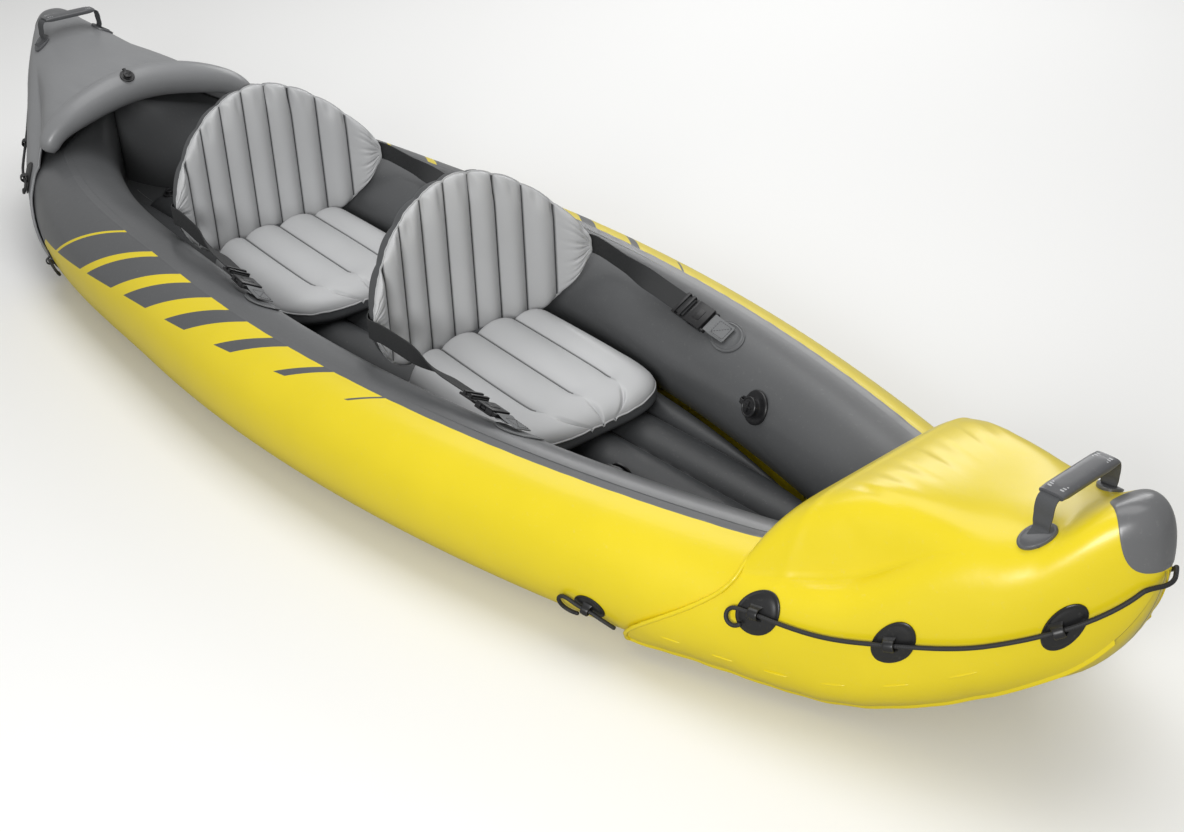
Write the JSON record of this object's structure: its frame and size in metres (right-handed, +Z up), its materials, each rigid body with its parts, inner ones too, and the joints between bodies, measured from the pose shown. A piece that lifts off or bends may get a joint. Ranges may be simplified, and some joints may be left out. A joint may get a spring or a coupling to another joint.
{
  "type": "inflatable tandem kayak",
  "caption": "Inflatable tandem kayak with side air chambers, ribbed floor, spray covers at both ends, grab lines, carry handles, hinged valve caps and padded seats with tilting backrests.",
  "frame": {"origin": "middle of the bounding box, on the ground under the hull", "axes": "+X to the bow, +Y to port, +Z up"},
  "size_m": [3.1718, 0.91, 0.4589],
  "materials": {
    "yellow_pvc": "glossy welded sheet",
    "grey_pvc": "satin welded sheet",
    "dark_grey_pvc": "satin welded sheet",
    "silver_vinyl": "soft sheen vinyl",
    "black_rubber": "matt moulded",
    "black_cord": "braided",
    "grey_webbing": "woven",
    "grey_vinyl_sleeve": "matt vinyl",
    "black_plastic": "moulded"
  },
  "bodies": {
    "hull": {"port_air_chamber": "yellow_pvc", "starboard_air_chamber": "yellow_pvc", "hull_bottom": "yellow_pvc", "floor_panel": "dark_grey_pvc", "bow_cover": "yellow_pvc", "stern_cover": "grey_pvc", "bow_roll": "yellow_pvc", "stern_arch": "grey_pvc", "bow_nose_patch": "grey_pvc", "stern_nose_patch": "grey_pvc", "bow_line_patches": "black_rubber", "stern_line_patches": "black_rubber", "bow_grab_line": "black_cord", "stern_grab_line": "black_cord", "bow_tie_patches": "black_rubber", "stern_tie_patches": "black_rubber", "bow_tie_cords": "black_cord", "stern_tie_cords": "black_cord", "bow_handle_feet": "grey_pvc", "stern_handle_feet": "grey_pvc", "port_valve_base": "black_plastic", "starboard_valve_base": "black_plastic", "floor_valve_base": "black_plastic", "arch_valve_base": "black_plastic", "roll_valve_base": "black_plastic", "front_cushion": "silver_vinyl", "front_hinge_welt": "grey_webbing", "front_anchor_patches": "grey_pvc", "front_anchor_tabs": "grey_webbing", "front_straps": "grey_webbing", "front_buckle_sockets": "black_plastic", "rear_cushion": "silver_vinyl", "rear_hinge_welt": "grey_webbing", "rear_anchor_patches": "grey_pvc", "rear_anchor_tabs": "grey_webbing", "rear_straps": "grey_webbing", "rear_buckle_sockets": "black_plastic"},
    "front_backrest": {"front_backrest": "silver_vinyl", "front_back_band": "grey_webbing"},
    "rear_backrest": {"rear_backrest": "silver_vinyl", "rear_back_band": "grey_webbing"},
    "bow_handle": {"bow_handle_strap": "grey_webbing", "bow_handle_grip": "grey_vinyl_sleeve"},
    "stern_handle": {"stern_handle_strap": "grey_webbing", "stern_handle_grip": "grey_vinyl_sleeve"},
    "port_valve_cap": {"port_valve_cap": "black_plastic"},
    "starboard_valve_cap": {"starboard_valve_cap": "black_plastic"},
    "floor_valve_cap": {"floor_valve_cap": "black_plastic"},
    "arch_valve_cap": {"arch_valve_cap": "black_plastic"},
    "roll_valve_cap": {"roll_valve_cap": "black_plastic"},
    "front_port_buckle_clip": {"front_port_buckle_clip": "black_plastic"},
    "front_starboard_buckle_clip": {"front_starboard_buckle_clip": "black_plastic"},
    "rear_port_buckle_clip": {"rear_port_buckle_clip": "black_plastic"},
    "rear_starboard_buckle_clip": {"rear_starboard_buckle_clip": "black_plastic"}
  },
  "joints": [
    {"name": "front_backrest_hinge", "type": "hinge", "parent": "hull", "child": "front_backrest", "pos_m": [0.164, 0, 0.1429], "axis": [0, 1, 0], "range_deg": [-20, 25], "deforming": ["front_straps"]},
    {"name": "rear_backrest_hinge", "type": "hinge", "parent": "hull", "child": "rear_backrest", "pos_m": [-0.536, 0, 0.1429], "axis": [0, 1, 0], "range_deg": [-20, 18], "deforming": ["rear_straps"]},
    {"name": "bow_handle_hinge", "type": "hinge", "parent": "hull", "child": "bow_handle", "pos_m": [1.43499, 0, 0.37782], "axis": [0, 1, 0], "range_deg": [-65, 25]},
    {"name": "stern_handle_hinge", "type": "hinge", "parent": "hull", "child": "stern_handle", "pos_m": [-1.43465, 0, 0.39216], "axis": [0, 1, 0], "range_deg": [-25, 65]},
    {"name": "port_valve_hinge", "type": "hinge", "parent": "hull", "child": "port_valve_cap", "pos_m": [0.70405, 0.16258, 0.15959], "axis": [-0.0786, -0.3586, -0.9302], "range_deg": [0, 90]},
    {"name": "starboard_valve_hinge", "type": "hinge", "parent": "hull", "child": "starboard_valve_cap", "pos_m": [0.70405, -0.16258, 0.15959], "axis": [0.0786, -0.3586, 0.9302], "range_deg": [0, 90]},
    {"name": "floor_valve_hinge", "type": "hinge", "parent": "hull", "child": "floor_valve_cap", "pos_m": [-1.05904, 0, 0.07497], "axis": [0, -1, 0], "range_deg": [0, 90]},
    {"name": "arch_valve_hinge", "type": "hinge", "parent": "hull", "child": "arch_valve_cap", "pos_m": [-1.0798, -0.04111, 0.38131], "axis": [0, -1, 0], "range_deg": [0, 90]},
    {"name": "roll_valve_hinge", "type": "hinge", "parent": "hull", "child": "roll_valve_cap", "pos_m": [1.16994, 0.00096, 0.26243], "axis": [-0.6, 0, 0.8], "range_deg": [0, 90]},
    {"name": "front_port_buckle_slide", "type": "slide", "parent": "hull", "child": "front_port_buckle_clip", "axis": [-0.9902, 0.0644, 0.1237], "range_m": [0, 0.035]},
    {"name": "front_starboard_buckle_slide", "type": "slide", "parent": "hull", "child": "front_starboard_buckle_clip", "axis": [-0.9902, -0.0644, 0.1237], "range_m": [0, 0.035]},
    {"name": "rear_port_buckle_slide", "type": "slide", "parent": "hull", "child": "rear_port_buckle_clip", "axis": [-0.99, -0.0673, 0.1237], "range_m": [0, 0.035]},
    {"name": "rear_starboard_buckle_slide", "type": "slide", "parent": "hull", "child": "rear_starboard_buckle_clip", "axis": [-0.99, 0.0673, 0.1237], "range_m": [0, 0.035]}
  ]
}
